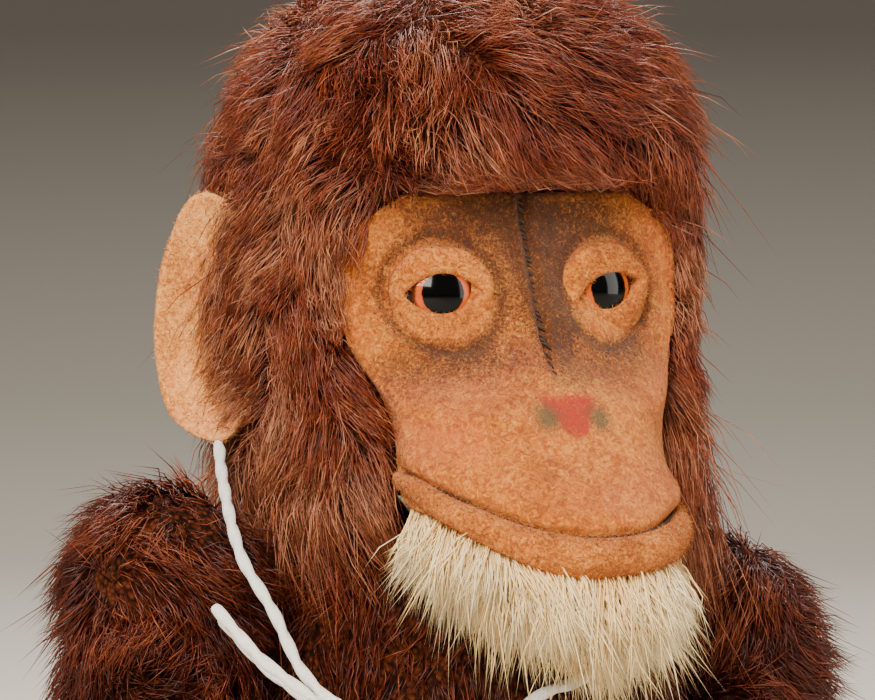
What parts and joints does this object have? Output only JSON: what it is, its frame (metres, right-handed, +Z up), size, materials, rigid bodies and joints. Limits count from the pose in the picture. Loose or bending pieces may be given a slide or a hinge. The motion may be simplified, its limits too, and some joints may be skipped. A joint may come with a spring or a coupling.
{
  "type": "wind-up drumming monkey",
  "caption": "Seated plush monkey with felt face, glass eyes and a clockwork in its body that swings both arms to beat a small drum in its lap.",
  "frame": {"origin": "centre of the torso's flat underside, below the neck axis", "axes": "+Z up along the neck axis, the figure faces -Y, its right side is -X"},
  "size_m": [0.114, 0.1325, 0.177],
  "materials": {
    "head_mohair": "long-pile mohair plush, reddish brown",
    "body_mohair": "long-pile mohair plush, darker brown",
    "beard_mohair": "ivory mohair plush",
    "felt": "peach wool felt with airbrushed shading",
    "eye_glass": "glass eye with black pupil and orange-brown iris",
    "steel": "plain steel",
    "brass": "brass with light tarnish",
    "drum_tin": "enamelled tinplate",
    "drum_skin": "stretched drum skin",
    "birch": "turned birch",
    "card": "pressed fibre card",
    "cotton": "twisted white cotton cord",
    "stuffing": "wood-wool and cotton stuffing"
  },
  "bodies": {
    "torso": {"torso_skin": "body_mohair", "torso_stuffing": "stuffing", "front_frame_plate": "steel", "rear_frame_plate": "steel", "frame_pillars": "brass", "shoulder_brackets": "steel", "shoulder_bushes": "brass", "neck_bridge": "steel", "neck_bolt": "steel", "neck_disc_lower": "card", "neck_nut": "steel", "mainspring": "steel", "rocker_stud": "steel", "key_grommet": "brass", "drum_bracket": "steel", "drum_shell": "drum_tin", "drum_top_head": "drum_skin", "drum_bottom_head": "drum_skin", "drum_hoops": "brass", "drum_rivets": "brass", "drum_eyelet": "brass", "hip_pins": "steel", "hip_discs": "card", "neck_cord": "cotton", "cord_knot": "cotton", "cord_tails": "cotton", "drum_cord": "cotton"},
    "head": {"head_skin": "head_mohair", "head_stuffing": "stuffing", "face_felt": "felt", "lower_lip": "felt", "left_ear": "felt", "right_ear": "felt", "glass_eyes": "eye_glass", "eyelids": "felt", "eye_shanks": "steel", "chin_beard": "beard_mohair", "neck_disc_upper": "card"},
    "right_arm": {"right_arm_plush": "body_mohair", "right_hand": "felt", "right_arm_wire": "steel", "right_drumstick": "birch"},
    "left_arm": {"left_arm_plush": "body_mohair", "left_hand": "felt", "left_arm_wire": "steel", "left_drumstick": "birch"},
    "right_leg": {"right_leg_plush": "body_mohair", "right_foot": "felt", "right_leg_disc": "card"},
    "left_leg": {"left_leg_plush": "body_mohair", "left_foot": "felt", "left_leg_disc": "card"},
    "winding": {"winding_key": "brass", "winding_arbor": "steel"},
    "great_wheel": {"great_wheel": "brass", "click": "steel"},
    "second_wheel": {"second_wheel": "brass"},
    "crank": {"crank_wheel": "brass"},
    "governor": {"governor": "brass"},
    "rocker": {"rocker": "steel"}
  },
  "joints": [
    {"name": "head_turn", "type": "hinge", "parent": "torso", "child": "head", "pos_m": [0, 0, 0.1102], "axis": [0, 0, 1], "range_deg": [-30, 30]},
    {"name": "right_arm_swing", "type": "hinge", "parent": "torso", "child": "right_arm", "pos_m": [0, 0, 0.098], "axis": [-1, 0, 0], "range_deg": [-12, 12]},
    {"name": "left_arm_swing", "type": "hinge", "parent": "torso", "child": "left_arm", "pos_m": [0, 0, 0.098], "axis": [-1, 0, 0], "range_deg": [-12, 12]},
    {"name": "right_leg_swing", "type": "hinge", "parent": "torso", "child": "right_leg", "pos_m": [0, 0, 0.0143], "axis": [-1, 0, 0], "range_deg": [-90, 10]},
    {"name": "left_leg_swing", "type": "hinge", "parent": "torso", "child": "left_leg", "pos_m": [0, 0, 0.0143], "axis": [-1, 0, 0], "range_deg": [-90, 10]},
    {"name": "key_wind", "type": "hinge", "parent": "torso", "child": "winding", "pos_m": [0, 0, 0.048], "axis": [0, 1, 0], "continuous": true},
    {"name": "great_wheel_turn", "type": "hinge", "parent": "torso", "child": "great_wheel", "pos_m": [0, 0, 0.048], "axis": [0, 1, 0], "continuous": true},
    {"name": "second_wheel_turn", "type": "hinge", "parent": "torso", "child": "second_wheel", "pos_m": [-0.009, 0, 0.06074], "axis": [0, 1, 0], "continuous": true},
    {"name": "crank_turn", "type": "hinge", "parent": "torso", "child": "crank", "pos_m": [0, 0, 0.06956], "axis": [0, 1, 0], "continuous": true},
    {"name": "governor_spin", "type": "hinge", "parent": "torso", "child": "governor", "pos_m": [0.0082, 0, 0.06476], "axis": [0, 1, 0], "continuous": true},
    {"name": "rocker_rock", "type": "hinge", "parent": "torso", "child": "rocker", "pos_m": [0, 0, 0.098], "axis": [0, 1, 0], "range_deg": [-9.5, 9.5]}
  ],
  "couplings": [
    {"joint": "left_arm_swing", "follows": "right_arm_swing", "ratio": -1},
    {"joint": "rocker_rock", "follows": "right_arm_swing", "ratio": 0.78571},
    {"joint": "second_wheel_turn", "follows": "crank_turn", "ratio": -0.4},
    {"joint": "great_wheel_turn", "follows": "crank_turn", "ratio": 0.12},
    {"joint": "governor_spin", "follows": "crank_turn", "ratio": -2.8}
  ]
}
